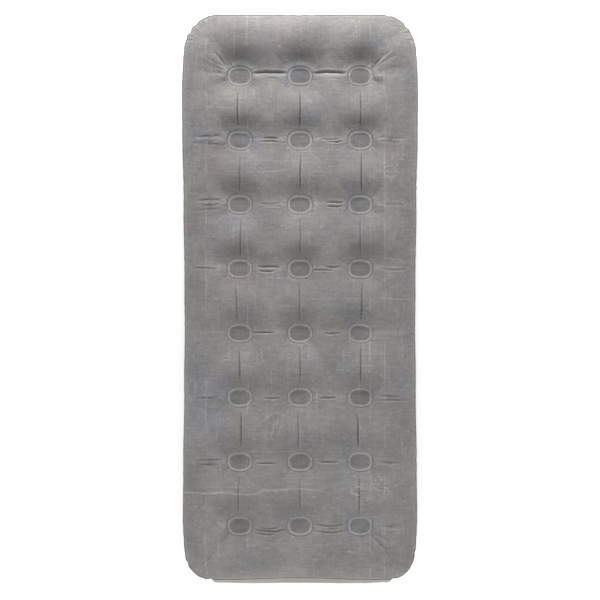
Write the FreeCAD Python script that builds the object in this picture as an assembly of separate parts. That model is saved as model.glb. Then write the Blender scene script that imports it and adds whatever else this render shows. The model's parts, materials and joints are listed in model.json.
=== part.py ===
import FreeCAD, Part
import math
import os

# Single-size flocked air mattress: three welded sheets, twenty-four coil beams and a screw valve.
# Millimetres. +X across the bed, +Y towards the head, +Z up. The origin is the middle of the underside.

Vector = FreeCAD.Vector
UP = Vector(0, 0, 1)

# ---- the whole bed ----
LENGTH = 1880.0
WIDTH = 790.0  # across the ends
WAIST = 8.0  # how far each long side draws in at mid length
HEIGHT = 220.0
CORNER_RADIUS = 125.0
EDGE_RADIUS = HEIGHT / 2 - 0.1  # the rim is a full round, less a narrow flat that keeps the fillets apart
SHEET = 1.2  # vinyl and its flock
SEAM_ANGLE = 38.0  # where the rim seams lie, in degrees above and below mid height
SEAM_LIP = 4.0  # how far the welded edges stand out of the rim

# ---- coil beams ----
COLUMNS = 3
ROWS = 8
PITCH_X = 195.0
PITCH_Y = 208.0
ROW_SHIFT = -7.0  # the rows lie a little nearer the foot
COIL_X = 86.0  # the oval of a coil, across and along the bed
COIL_Y = 64.0
COIL_WALL = 0.4
COIL_WELD = 5.0  # width of the flange welded to a sheet
DIMPLE_DEPTH = 28.0
DIMPLE_X = 176.0  # the oval where a dimple meets the crest of the sheet
DIMPLE_Y = 190.0
VENT_RADIUS = 6.0  # air passes from coil to coil through these

# ---- valve: s is measured outwards from the sheet, r from the valve's axis ----
VALVE_X = 215.0
VALVE_ANGLE = 16.0  # below mid height, in degrees
VALVE_SEAT = 98.0  # from the rim's centre line to the flat patch that carries the valve
PATCH_RADIUS = 34.0
PITCH = 3.0  # both threads
RIDGE = 1.1  # width of a thread ridge
RIDGE_DEPTH = 0.75
ROOT = 0.3  # how far a ridge is sunk in its wall, so that the two fuse
TURNS = 1.2
THREAD_START = 25.0  # degrees round from +X

FLANGE_RADIUS = 31.0
FLANGE_THICK = 1.2
COLLAR_OUT = 19.5
COLLAR_IN = 17.5
COLLAR_LOW = -9.0
COLLAR_TOP = 2.4
GASKET_THICK = 0.8
PLUG_OUT = 16.4
PLUG_LOW = -8.0
HEAD_RADIUS = 20.5
HEAD_LOW = COLLAR_TOP + GASKET_THICK
HEAD_TOP = HEAD_LOW + 1.8
NECK_OUT = 12.2
NECK_TOP = 12.0
BORE = 9.5
SEAT_BORE = 8.8
SPIDER_BAR = 1.4
SPIDER_DEEP = 1.6
SEAT_THICK = 1.2

FLAP_RADIUS = 11.0
FLAP_THICK = 0.8
FLAP_GAP = 0.05
HINGE_UP = 12.0  # the flap's hinge line, above the valve's axis
HINGE_GAP = 0.15
TAB_TOP = 15.4
TAB_HALF = 4.0
RIVET_UP = 13.9
RIVET_RADIUS = 0.8
RIVET_HEAD = 1.3

RING_LOW = HEAD_TOP
RING_THICK = 1.0
RING_IN = 12.4
RING_OUT = 16.0
SKIRT_LOW = RING_LOW + RING_THICK + 0.3
SKIRT_OUT = 14.6
CAP_IN = 13.4
GRIP_LOW = 10.0
GRIP_RADIUS = 16.8
GRIP_FLUTES = 20
FLUTE_RADIUS = 0.9
GRIP_BEVEL = 0.8
POCKET_RADIUS = 11.4
POCKET_DEEP = 0.5
BAR_WIDTH = 1.6
CAP_TOP = 14.0
CAP_PLATE = 1.2
SEAL_RADIUS = 12.9
SEAL_THICK = 0.5
CLIP_IN = 14.8
CLIP_OUT = 16.6
CLIP_LOW = 8.0
CLIP_TOP = 9.4
STRAP_WIDTH = 5.0
STRAP_THICK = 1.0
STRAP_REACH = 27.0
STRAP_GAP = 0.3  # clear of the clip, which the cap carries away

BASE_THREAD = PLUG_LOW + PITCH  # where each ridge's middle starts; a pair lies half a pitch apart
INSERT_THREAD = BASE_THREAD + PITCH / 2
NECK_THREAD = HEAD_TOP + 1.6
CAP_THREAD = NECK_THREAD + PITCH / 2

MID = HEIGHT / 2
SEAM_RISE = (HEIGHT / 2) * math.sin(math.radians(SEAM_ANGLE))
SEAM_INSET = (HEIGHT / 2) * (1 - math.cos(math.radians(SEAM_ANGLE)))
BIG = LENGTH + WIDTH
OVERCUT = 2.0


def outline(inset, z):
    """The bed's plan as a face at height z, drawn in by inset: straight ends, hollow long sides, round corners."""
    corner_x = WIDTH / 2 - CORNER_RADIUS
    corner_y = LENGTH / 2 - CORNER_RADIUS
    reach = CORNER_RADIUS - WAIST
    side = (reach**2 + corner_y**2 - CORNER_RADIUS**2) / (2 * WAIST)
    side_x = WIDTH / 2 - WAIST + side
    side += inset
    corner = CORNER_RADIUS - inset
    lean = math.atan2(corner_y, side_x - corner_x)
    touch = Vector(side_x - side * math.cos(lean), side * math.sin(lean), z)
    waist = Vector(side_x - side, 0, z)
    turn = math.radians(90) / 2 + lean / 2
    knee = Vector(corner_x + corner * math.cos(turn), corner_y + corner * math.sin(turn), z)
    end = Vector(corner_x, corner_y + corner, z)

    def at(point, sx, sy):
        return Vector(point.x * sx, point.y * sy, point.z)

    edges = [
        Part.Arc(at(touch, 1, -1), waist, touch).toShape(),
        Part.Arc(touch, knee, end).toShape(),
        Part.LineSegment(end, at(end, -1, 1)).toShape(),
        Part.Arc(at(end, -1, 1), at(knee, -1, 1), at(touch, -1, 1)).toShape(),
        Part.Arc(at(touch, -1, 1), at(waist, -1, 1), at(touch, -1, -1)).toShape(),
        Part.Arc(at(touch, -1, -1), at(knee, -1, -1), at(end, -1, -1)).toShape(),
        Part.LineSegment(at(end, -1, -1), at(end, 1, -1)).toShape(),
        Part.Arc(at(end, 1, -1), at(knee, 1, -1), at(touch, 1, -1)).toShape(),
    ]
    return Part.Face(Part.Wire(edges))


def oval(size_x, size_y, z):
    """An ellipse wire of these full sizes at height z, whichever way is longer."""
    centre = Vector(0, 0, z)
    across = Vector(size_x / 2, 0, z)
    along = Vector(0, size_y / 2, z)
    ends = (across, along) if size_x >= size_y else (along, Vector(-size_x / 2, 0, z))
    return Part.Wire(Part.Ellipse(ends[0], ends[1], centre).toShape())


def coil_places():
    """(row, column, x, y) of each coil beam, from the foot's left."""
    for row in range(ROWS):
        for column in range(COLUMNS):
            x = (column - (COLUMNS - 1) / 2) * PITCH_X
            y = (row - (ROWS - 1) / 2) * PITCH_Y + ROW_SHIFT
            yield row, column, x, y


def dimple(drop):
    """The tool that presses one dimple into the crest, lowered by drop."""
    floor = HEIGHT - DIMPLE_DEPTH
    growth = (DIMPLE_DEPTH + OVERCUT) / DIMPLE_DEPTH
    rim_x = COIL_X + (DIMPLE_X - COIL_X) * growth
    rim_y = COIL_Y + (DIMPLE_Y - COIL_Y) * growth
    wires = [oval(COIL_X, COIL_Y, floor), oval(rim_x, rim_y, HEIGHT + OVERCUT)]
    tool = Part.makeLoft(wires, True, True)
    tool.translate(Vector(0, 0, -drop))
    return tool


def place_on_valve(shape):
    """Moves a shape drawn round +Z with s = 0 at z = 0 to the valve's place on the foot end."""
    lean = math.radians(VALVE_ANGLE)
    out = Vector(0, -math.cos(lean), -math.sin(lean))
    rim_centre = Vector(VALVE_X, -(LENGTH / 2 - HEIGHT / 2), MID)
    turn = FreeCAD.Rotation(Vector(1, 0, 0), Vector(0, -math.sin(lean), math.cos(lean)), out, "ZXY")
    moved = shape.copy()
    moved.Placement = FreeCAD.Placement(rim_centre + out * VALVE_SEAT, turn)
    return moved


def disc(radius, low, high):
    """A plain cylinder round the valve's axis."""
    return Part.makeCylinder(radius, high - low, Vector(0, 0, low))


def ring(outer, inner, low, high):
    """A plain tube round the valve's axis."""
    return disc(outer, low, high).cut(disc(inner, low - 1, high + 1))


def body_of_air(inset):
    """The closed form of the bed, drawn in by inset all round: full-round rim, dimples both sides, flat valve patch."""
    prism = outline(inset, inset).extrude(Vector(0, 0, HEIGHT - 2 * inset))
    rims = [e for e in prism.Edges if abs(e.BoundBox.ZLength) < 0.01]
    form = prism.makeFillet(EDGE_RADIUS - inset, rims)
    tools = []
    for _, _, x, y in coil_places():
        upper = dimple(inset)
        upper.translate(Vector(x, y, 0))
        lower = upper.mirror(Vector(0, 0, MID), UP)
        tools += [upper, lower]
    tools.append(place_on_valve(disc(PATCH_RADIUS + inset, -inset, PATCH_RADIUS)))
    return form.cut(tools)


def band(shape, low, high):
    """The part of a shape between two heights."""
    return shape.common(Part.makeBox(BIG, BIG, high - low, Vector(-BIG / 2, -BIG / 2, low)))


def lip(low, high):
    """A welded edge that stands out of the rim at a seam."""
    outer = outline(SEAM_INSET - SEAM_LIP, low).extrude(Vector(0, 0, high - low))
    inner = outline(SEAM_INSET + SHEET / 2, low - 1).extrude(Vector(0, 0, high - low + 2))
    return outer.cut(inner)


def sheets():
    """The top sheet, side wall and bottom sheet, each with its half of the seam lips."""
    skin = body_of_air(0).cut(body_of_air(SHEET))
    upper = MID + SEAM_RISE
    lower = MID - SEAM_RISE
    top = band(skin, upper, HEIGHT + 1).fuse(lip(upper, upper + SHEET))
    bottom = band(skin, -1, lower).fuse(lip(lower - SHEET, lower))
    wall = band(skin, lower, upper).fuse([lip(upper - SHEET, upper), lip(lower, lower + SHEET)])
    wall = wall.cut(place_on_valve(disc(COLLAR_OUT + 0.1, -SHEET - 1, 1)))
    return {"top_sheet": top, "side_wall": wall, "bottom_sheet": bottom}


def coil_beam():
    """One coil beam at x = y = 0: an oval vinyl tube with a weld flange at each end and four vents."""
    low = DIMPLE_DEPTH + SHEET
    high = HEIGHT - low
    rise = Vector(0, 0, high - low)

    def oval_face(shrink, z):
        return Part.Face(oval(COIL_X - 2 * shrink, COIL_Y - 2 * shrink, z))

    tube = oval_face(0, low).extrude(rise)
    tube = tube.cut(oval_face(COIL_WALL, low + COIL_WALL).extrude(rise - UP * (2 * COIL_WALL)))
    tube = tube.cut(oval_face(COIL_WELD, low - 1).extrude(rise + UP * 2))
    vents = []
    for direction, reach in ((Vector(1, 0, 0), COIL_X), (Vector(0, 1, 0), COIL_Y)):
        start = Vector(0, 0, MID) - direction * reach
        vents.append(Part.makeCylinder(VENT_RADIUS, 2 * reach, start, direction))
    return tube.cut(vents)


def turned(section):
    """A solid of revolution round the valve's axis, from its half section as (r, s) corners."""
    corners = [Vector(r, 0, height) for r, height in section]
    face = Part.Face(Part.makePolygon(corners + corners[:1]))
    return face.revolve(Vector(0, 0, 0), UP, 360)


def flutes(radius, low, high):
    """The cutters for the finger notches round a rim of this radius."""
    cutters = []
    for k in range(GRIP_FLUTES):
        turn = 2 * math.pi * (k + 0.5) / GRIP_FLUTES
        middle = Vector(radius * math.cos(turn), radius * math.sin(turn), low - 1)
        cutters.append(Part.makeCylinder(FLUTE_RADIUS, high - low + 2, middle))
    return cutters


def thread(radius, low, inward):
    """A helical ridge on a wall of this radius, starting at height low and standing inward or outward."""
    tip = radius - RIDGE_DEPTH if inward else radius + RIDGE_DEPTH
    root = radius + ROOT if inward else radius - ROOT
    helix = Part.makeHelix(PITCH, PITCH * TURNS, radius)
    crest = RIDGE * 0.7
    corners = [
        Vector(root, 0, -RIDGE / 2),
        Vector(tip, 0, -crest / 2),
        Vector(tip, 0, crest / 2),
        Vector(root, 0, RIDGE / 2),
    ]
    profile = Part.makePolygon(corners + corners[:1])
    ridge = Part.Wire(helix.Edges).makePipeShell([profile], True, True)
    ridge.rotate(Vector(0, 0, 0), UP, THREAD_START)
    ridge.translate(Vector(0, 0, low))
    return ridge


def valve_base():
    """The flange welded over the hole in the wall, with its threaded collar."""
    base = turned([
        (COLLAR_IN, COLLAR_LOW),
        (COLLAR_OUT, COLLAR_LOW),
        (COLLAR_OUT, 0),
        (FLANGE_RADIUS, 0),
        (FLANGE_RADIUS, FLANGE_THICK),
        (COLLAR_OUT, FLANGE_THICK),
        (COLLAR_OUT, COLLAR_TOP),
        (COLLAR_IN, COLLAR_TOP),
    ])
    weld = Part.makeTorus(FLANGE_RADIUS - 4, 0.5, Vector(0, 0, FLANGE_THICK))
    return base.fuse([weld, thread(COLLAR_IN, BASE_THREAD, True)]).removeSplitter()


def insert_gasket():
    """The soft ring between the collar and the insert's head."""
    inner = PLUG_OUT + 0.5
    outer = COLLAR_OUT - 0.2
    return turned([(inner, COLLAR_TOP), (outer, COLLAR_TOP), (outer, HEAD_LOW), (inner, HEAD_LOW)])


def valve_insert():
    """The threaded insert: plug, finger head, neck for the cap, and the seat and spider that the flap closes on."""
    body = turned([
        (SEAT_BORE, PLUG_LOW),
        (PLUG_OUT, PLUG_LOW),
        (PLUG_OUT, HEAD_LOW),
        (HEAD_RADIUS, HEAD_LOW),
        (HEAD_RADIUS, HEAD_TOP),
        (NECK_OUT, HEAD_TOP),
        (NECK_OUT, NECK_TOP),
        (BORE, NECK_TOP),
        (BORE, PLUG_LOW + SEAT_THICK),
        (SEAT_BORE, PLUG_LOW + SEAT_THICK),
    ])
    body = body.cut(flutes(HEAD_RADIUS, HEAD_LOW, HEAD_TOP))
    reach = SEAT_BORE + ROOT
    bars = [
        Part.makeBox(2 * reach, SPIDER_BAR, SPIDER_DEEP, Vector(-reach, -SPIDER_BAR / 2, PLUG_LOW)),
        Part.makeBox(SPIDER_BAR, 2 * reach, SPIDER_DEEP, Vector(-SPIDER_BAR / 2, -reach, PLUG_LOW)),
    ]
    ridges = [thread(PLUG_OUT, INSERT_THREAD, False), thread(NECK_OUT, NECK_THREAD, False)]
    whole = body.fuse(bars).removeSplitter().fuse(ridges)
    return whole.cut(Part.makeCylinder(RIVET_RADIUS, SEAT_THICK + 1, Vector(0, RIVET_UP, PLUG_LOW - 1)))


def flap_disc():
    """The soft one-way disc, up to its hinge line."""
    high = PLUG_LOW - FLAP_GAP
    low = high - FLAP_THICK
    ear = Part.makeBox(2 * TAB_HALF, HINGE_UP - HINGE_GAP, FLAP_THICK, Vector(-TAB_HALF, 0, low))
    return disc(FLAP_RADIUS, low, high).fuse(ear).removeSplitter()


def flap_tab():
    """The part of the flap that stays riveted to the insert."""
    low = PLUG_LOW - FLAP_THICK
    width = TAB_TOP - HINGE_UP - HINGE_GAP
    tab = Part.makeBox(2 * TAB_HALF, width, FLAP_THICK, Vector(-TAB_HALF, HINGE_UP + HINGE_GAP, low))
    corners = [e for e in tab.Edges if abs(e.BoundBox.ZLength - FLAP_THICK) < 0.01 and e.BoundBox.YMin > RIVET_UP]
    tab = tab.makeFillet(1.0, corners)
    return tab.cut(Part.makeCylinder(RIVET_RADIUS, 3, Vector(0, RIVET_UP, low - 1)))


def flap_rivet():
    """The stud that pins the tab."""
    low = PLUG_LOW - FLAP_THICK
    shank = Part.makeCylinder(RIVET_RADIUS, FLAP_THICK + SEAT_THICK, Vector(0, RIVET_UP, low))
    head = Part.makeCylinder(RIVET_HEAD, 0.5, Vector(0, RIVET_UP, low - 0.5))
    return shank.fuse(head).removeSplitter()


def screw_cap():
    """The cap: a skirt with its thread, and a fluted grip with a bar across its pocket."""
    inside = CAP_TOP - CAP_PLATE
    shell = turned([
        (0, inside),
        (CAP_IN, inside),
        (CAP_IN, SKIRT_LOW),
        (SKIRT_OUT, SKIRT_LOW),
        (SKIRT_OUT, GRIP_LOW),
        (GRIP_RADIUS, GRIP_LOW),
        (GRIP_RADIUS, CAP_TOP - GRIP_BEVEL),
        (GRIP_RADIUS - GRIP_BEVEL, CAP_TOP),
        (0, CAP_TOP),
    ])
    shell = shell.cut(flutes(GRIP_RADIUS, GRIP_LOW, CAP_TOP))
    bar = Part.makeBox(BAR_WIDTH, 2 * CAP_IN, CAP_PLATE, Vector(-BAR_WIDTH / 2, -CAP_IN, CAP_TOP - POCKET_DEEP))
    pocket = disc(POCKET_RADIUS, CAP_TOP - POCKET_DEEP, CAP_TOP + 1).cut(bar)
    return shell.cut(pocket).fuse(thread(CAP_IN, CAP_THREAD, True))


def cap_seal():
    """The soft disc inside the cap."""
    high = CAP_TOP - CAP_PLATE
    return disc(SEAL_RADIUS, high - SEAL_THICK, high)


def tether_strap():
    """The cap's tether: a ring round the neck and a strap that doubles back towards the clip on the cap."""
    collar = ring(RING_OUT, RING_IN, RING_LOW, RING_LOW + RING_THICK)
    low = RING_LOW
    high = CLIP_TOP
    bend = (high - low) / 2
    start = RING_OUT - 0.5
    stop = CLIP_OUT + STRAP_GAP
    far = STRAP_REACH - bend

    def loop(shrink, inner_end):
        radius = bend - shrink
        a = Vector(start, -STRAP_WIDTH / 2, low + shrink)
        b = Vector(far, -STRAP_WIDTH / 2, low + shrink)
        nose = Vector(far + radius, -STRAP_WIDTH / 2, low + bend)
        c = Vector(far, -STRAP_WIDTH / 2, high - shrink)
        d = Vector(inner_end, -STRAP_WIDTH / 2, high - shrink)
        return a, b, nose, c, d

    a, b, nose, c, d = loop(0, stop)
    e, f, inner_nose, g, h = loop(STRAP_THICK, stop)
    edges = [
        Part.LineSegment(a, b).toShape(),
        Part.Arc(b, nose, c).toShape(),
        Part.LineSegment(c, d).toShape(),
        Part.LineSegment(d, h).toShape(),
        Part.LineSegment(h, g).toShape(),
        Part.Arc(g, inner_nose, f).toShape(),
        Part.LineSegment(f, e).toShape(),
        Part.LineSegment(e, a).toShape(),
    ]
    strap = Part.Face(Part.Wire(edges)).extrude(Vector(0, STRAP_WIDTH, 0))
    return collar.fuse(strap).removeSplitter()


def cap_clip():
    """The tether's second ring, which holds the cap by its skirt and lets it turn."""
    return ring(CLIP_OUT, CLIP_IN, CLIP_LOW, CLIP_TOP)


def save(name, shape):
    """Writes one node, after checking that it is made of closed solids."""
    solids = shape.Solids
    if not solids or not all(s.isValid() and s.isClosed() and s.Volume > 0 for s in solids):
        raise ValueError(f"{name} is not made of valid closed solids")
    whole = solids[0] if len(solids) == 1 else Part.makeCompound(solids)
    whole.exportStep(f"parts/{name}.step")
    print(f"{name}: {len(solids)} solid(s), {whole.Volume / 1000:.2f} cm3")


def main():
    os.makedirs("parts", exist_ok=True)
    for name, shape in sheets().items():
        save(name, shape)
    beam = coil_beam()
    for row, column, x, y in coil_places():
        placed = beam.copy()
        placed.translate(Vector(x, y, 0))
        save(f"coil_beam_{row + 1}_{'left middle right'.split()[column]}", placed)
    valve = {
        "valve_base": valve_base(),
        "insert_gasket": insert_gasket(),
        "valve_insert": valve_insert(),
        "flap_disc": flap_disc(),
        "flap_tab": flap_tab(),
        "flap_rivet": flap_rivet(),
        "screw_cap": screw_cap(),
        "cap_seal": cap_seal(),
        "tether_strap": tether_strap(),
        "cap_clip": cap_clip(),
    }
    for name, shape in valve.items():
        save(name, place_on_valve(shape))


main()
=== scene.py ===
import json
import math

import bpy
import numpy as np
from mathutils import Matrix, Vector


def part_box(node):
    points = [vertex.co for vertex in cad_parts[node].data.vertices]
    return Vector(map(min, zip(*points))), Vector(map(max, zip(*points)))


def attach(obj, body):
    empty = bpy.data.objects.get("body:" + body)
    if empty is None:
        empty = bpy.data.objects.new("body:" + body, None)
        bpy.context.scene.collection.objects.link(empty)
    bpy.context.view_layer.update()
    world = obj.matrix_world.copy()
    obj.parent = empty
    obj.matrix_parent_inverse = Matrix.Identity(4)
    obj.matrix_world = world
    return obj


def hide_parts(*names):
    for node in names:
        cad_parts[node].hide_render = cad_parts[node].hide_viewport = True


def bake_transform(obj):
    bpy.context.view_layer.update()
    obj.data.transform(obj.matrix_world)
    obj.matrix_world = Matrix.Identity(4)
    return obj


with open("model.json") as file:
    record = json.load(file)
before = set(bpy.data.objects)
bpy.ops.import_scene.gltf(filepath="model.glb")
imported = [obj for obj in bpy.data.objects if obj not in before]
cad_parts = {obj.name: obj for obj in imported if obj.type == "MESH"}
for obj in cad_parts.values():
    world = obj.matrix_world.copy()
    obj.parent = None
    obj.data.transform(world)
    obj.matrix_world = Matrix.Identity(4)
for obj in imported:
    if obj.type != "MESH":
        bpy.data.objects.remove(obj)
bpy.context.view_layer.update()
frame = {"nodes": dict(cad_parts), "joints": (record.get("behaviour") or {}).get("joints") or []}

MM = 0.001
RNG = np.random.default_rng(864)

# ---- sizes read from the frame, in metres ----
SHEET = 1.2 * MM
TOP_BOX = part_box("top_sheet")
WALL_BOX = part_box("side_wall")
HEIGHT = TOP_BOX[1].z
RIM = HEIGHT / 2
HALF_WIDTH = WALL_BOX[1].x
HALF_LENGTH = WALL_BOX[1].y
SEAM_ANGLE = math.asin((TOP_BOX[0].z - RIM) / RIM)
COIL_NODES = sorted(n for n in frame["nodes"] if n.startswith("coil_beam_"))
COIL_BOXES = [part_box(n) for n in COIL_NODES]
COIL = np.array((COIL_BOXES[0][1] - COIL_BOXES[0][0]).xy) / 2
OVAL = COIL * [1.03, 1.12]  # a dimple's weld, a little squarer than the coil under it
SQUARENESS = 2.3  # 2 is an ellipse
DISC_Z = COIL_BOXES[0][1].z + SHEET
VALVE = next(j for j in frame["joints"] if j["name"] == "insert_turn")
VALVE_AT = Vector(VALVE["pos_m"])
VALVE_OUT = Vector(VALVE["axis"])


def distinct(values):
    """The different numbers in a list, in order."""
    return np.array(sorted({round(float(v), 4) for v in values}))


COLUMNS = distinct((low.x + high.x) / 2 for low, high in COIL_BOXES)
ROWS = distinct((low.y + high.y) / 2 for low, high in COIL_BOXES)
PITCH = np.array([COLUMNS[1] - COLUMNS[0], ROWS[1] - ROWS[0]])
MIDDLE = np.array([len(COLUMNS) - 1, len(ROWS) - 1]) / 2
GAPS = (COLUMNS[:-1] + COLUMNS[1:]) / 2  # the middles of the gaps between columns
END_ROWS = ROWS[[0, -1]]
TONE_ROWS = ROWS[[0, -2, -1]]

# ---- the sheets' pattern ----
WAIST = 11 * MM  # how far the long sides draw in
CORNERS = {"foot": 90 * MM, "head": 125 * MM}
FLAT_CORNERS = {"foot": 98 * MM, "head": 126 * MM}
HOLLOW = {"foot": 11 * MM, "head": 5 * MM}  # how far the ends draw in between their corners
FOOT_STEP = 17 * MM  # how far the foot's corners stop short of the bed's full length
FOOT_WALL = 13 * MM  # how far the foot's wall stands out beyond its corners
SWELL = np.array([5, -9]) * MM  # how far the pressure pushes the rim out, across and along
SIDE = 28  # points along each side of a cell of the quilting
SPARE = np.array([10.5, 9.5]) * MM  # cloth between two dimples beyond the straight distance
OUTER = np.array([85, 79]) * MM  # from the outer dimples' centres to the end of the quilted cells
CELL_ROWS = 15
BORDER_ROWS = 13
BAND_ROWS = 20
LIP = 1.8 * MM
LIP_SHAPE = ((0.4, 0.45 * MM), (0.9, 0.45 * MM), (1, 0.05 * MM))  # shares of its width, and half thicknesses
RECESS = (36 * MM, 66 * MM)  # round the valve: the flat patch, and where the wall is full again
HOLE = 23 * MM

# ---- the inflation ----
CLOTH_SCALE = 10.0  # the cloth is simulated at this many times its size
FRAMES = 18
CLOTH = {
    "quality": 4,
    "mass": 0.3,
    "tension_stiffness": 40,
    "compression_stiffness": 40,
    "shear_stiffness": 10,
    "bending_stiffness": 3,
    "tension_damping": 10,
    "compression_damping": 10,
    "shear_damping": 10,
    "air_damping": 2,
    "use_pressure": True,
    "uniform_pressure_force": 5,
}

# ---- the folds ----
TUCK = 10.5 * MM  # how far the sheet is drawn over a dimple's edge, and how far out that is greatest
TUCK_AT = 12.5 * MM
ROLLS = np.array([5, 11, 21]) * MM  # how deep the valleys lie along the first, last but one and last rows
FOOT_SIDE = 0.5  # how much shallower they are on the foot's side of a row
END_ROLL = 160 * MM  # from an end row to the crest of the end roll
CREST = HEIGHT + 3 * MM  # the highest the sheet may rise, and from how far below it is flattened
SOFT = 14 * MM
FLOOR_GAP = 0.2 * MM
FLOOR_SOFT = 3 * MM  # how softly the underside flattens where it meets the floor
PAINTED_SHADE_ABOVE = (0.04, 0.25, 0.33)  # how much painted shade darkens the flock above a dimple, in the same three rows
PAINTED_LIGHT_BELOW = (0.01, 0.1)  # and how much a painted highlight lightens it below a dimple, in the first and last rows
ROW_FOLDS = (0, 1, 1, 1, 2, 2, 2, 0)  # from the foot's row to the head's
SIDE_FOLDS = {-1: (0, 2, 1, 0, 1, 3, 3, 0), 1: (1, 1, 2, 0, 1, 1, 2, 0)}
FOOT_FOLDS = (  # gap, start and end as shares of half of it, then level, slant and bow in mm, and how dark its painted crease shade is
    (0, -0.9, 0.3, -10, 0, -2.5, 0.3),
    (0, -0.6, 0.55, -4, 2, -2.5, 0.3),
    (0, -0.3, 1.05, -14, 5, -2.5, 0.3),
    (0, -0.9, 0.35, -19, -3, -2.5, 0.3),
    (1, -1.0, 0.95, 7, 0, -4, 0.25),
    (1, -0.25, 0.45, -3, 0, -1.5, 0.25),
    (1, -1.05, 1.05, -13, 0, -4, 0.25),
)
EVENING = 8  # times the small unevenness is averaged out
FOOT_HALF = 302 * MM  # half the length of an end between its corners
PUCKER = 0.6 * MM  # how far the sheets gather in and out along the seams
PUCKER_LENGTH = 40 * MM
WALL_HELD = 0.6  # how much of its bulge beyond the seam the wall loses
PINCHES = (  # places in plan, and depths
    ((-0.290, -0.931), 4 * MM),
    ((0.303, -0.931), 4 * MM),
    ((-0.375, -0.865), 3 * MM),
    ((0.386, -0.830), 3 * MM),
    ((-0.338, 0.903), 5 * MM),
    ((-0.366, 0.873), 5 * MM),
    ((0.292, 0.940), 4 * MM),
    ((0.349, 0.900), 4 * MM),
)
DISC_SHAPE = tuple((d * MM, h * MM) for d, h in (
    (2.4, 0.9), (5.8, 2.3), (9.2, 1.6), (12.0, -0.2), (15, -0.2), (21, 0.5), (29, 1.0)))

# ---- the cap's strap, measured from the valve's axis and up from its seat ----
STRAP_RING = 14.2 * MM  # the ring's radius
RING_WIDTH = 3.4 * MM
STRAP_WIDTH = 4.9 * MM
STRAP_THICK = 0.96 * MM
STRAP_LEVEL = 5.5 * MM
STRAP_START = 15.4 * MM
STRAP_TIP = 26.4 * MM
STRAP_END = 17.0 * MM
STRAP_BEND = 1.7 * MM

# ---- finishes ----
FLOCK = (0.211, 0.201, 0.198, 1)
FLOCK_COOL = (0.201, 0.198, 0.211, 1)
FLOCK_WARM = (0.219, 0.201, 0.196, 1)
FLOCK_GREEN = (0.206, 0.203, 0.189, 1)
LONG_FOLDS = (-0.302, -0.17, 0.226, 0.272)  # where the packing folds along and across the bed lie, in metres
CROSS_FOLDS = (0.0, 0.41)
FOOT_FOLD = -0.62  # and the wavy one above the foot's row
CRUMPLES = (  # across, along and reach, in metres
    (0.17, -0.6, 0.07), (0.25, -0.61, 0.06), (-0.08, -0.4, 0.06), (0.02, 0.3, 0.05), (0.3, 0.42, 0.06),
)
VINYLS = {  # colour, roughness, and the scale of its grain
    "wall_vinyl": ((0.3, 0.293, 0.256, 1), 0.5, 420.0),
    "base_vinyl": ((0.13, 0.135, 0.15, 1), 0.42, 300.0),
    "coil_vinyl": ((0.45, 0.46, 0.47, 1), 0.35, 200.0),
}
PLASTICS = {  # colour and roughness
    "valve_plastic": ((0.10, 0.10, 0.105, 1), 0.42),
    "cap_plastic": ((0.17, 0.17, 0.175, 1), 0.45),
    "valve_rubber": ((0.03, 0.03, 0.03, 1), 0.7),
}
CAD_FINISHES = {  # the coil beams have their own
    "flock": ("top_sheet",),
    "wall_vinyl": ("side_wall",),
    "base_vinyl": ("bottom_sheet",),
    "valve_plastic": ("valve_base", "valve_insert", "flap_rivet"),
    "valve_rubber": ("insert_gasket", "flap_disc", "flap_tab", "cap_seal"),
    "cap_plastic": ("screw_cap", "tether_strap", "cap_clip"),
}

# ---- the room ----
LIGHTS = (  # name, place, target, size, and power in watts
    ("head_light", (0, 3.4, 1.25), (0, 0, 0.1), (2.4, 0.6), 80),
    ("near_light", (0, 1.75, 0.75), (0, 0.3, 0.15), (1.8, 0.45), 13),
    ("foot_light", (0, -3.0, 1.8), (0, -0.7, 0.1), (3.0, 1.5), 31),
    ("top_light", (0, -0.3, 4.6), (0, -0.1, 0), (4, 4), 68),
)
AMBIENT = 0.47
CAMERA_AT = (0, -3.5 * MM, 3.5)
CAMERA_ANGLE = 32.75
FLOOR_HALF = 6.0
FLOOR_LEVEL = -0.5 * MM


# ======== shape helpers

def waves(xy, size, length, seed, count=7):
    """A smooth seeded unevenness: a sum of plane waves about this long, one value for each point."""
    rng = np.random.default_rng(seed)
    total = np.zeros(len(xy))
    for _ in range(count):
        turn = rng.uniform(0, math.pi)
        step = 2 * math.pi / (length * rng.uniform(0.6, 1.7))
        total += np.sin((xy[:, 0] * math.cos(turn) + xy[:, 1] * math.sin(turn)) * step + rng.uniform(0, 6.3))
    return total * size / math.sqrt(count)


def smooth(t):
    """0 to 1 with level ends."""
    t = np.clip(t, 0, 1)
    return t * t * (3 - 2 * t)


def bell(away, width):
    """1 where away is 0, falling smoothly to nothing over about twice this width."""
    return np.exp(-((away / width) ** 2))


def square_loop():
    """Points anticlockwise round a square of half side 1 from its lower right corner, closer at mid side."""
    side, step = np.divmod(np.arange(4 * SIDE), SIDE)
    even = -1 + 2 * step / SIDE
    along = 0.58 * even + 0.42 * even**3
    ones = np.ones(4 * SIDE)
    x = np.choose(side, [ones, -along, -ones, along])
    y = np.choose(side, [along, ones, -along, -ones])
    return np.stack([x, y], 1)


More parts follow.
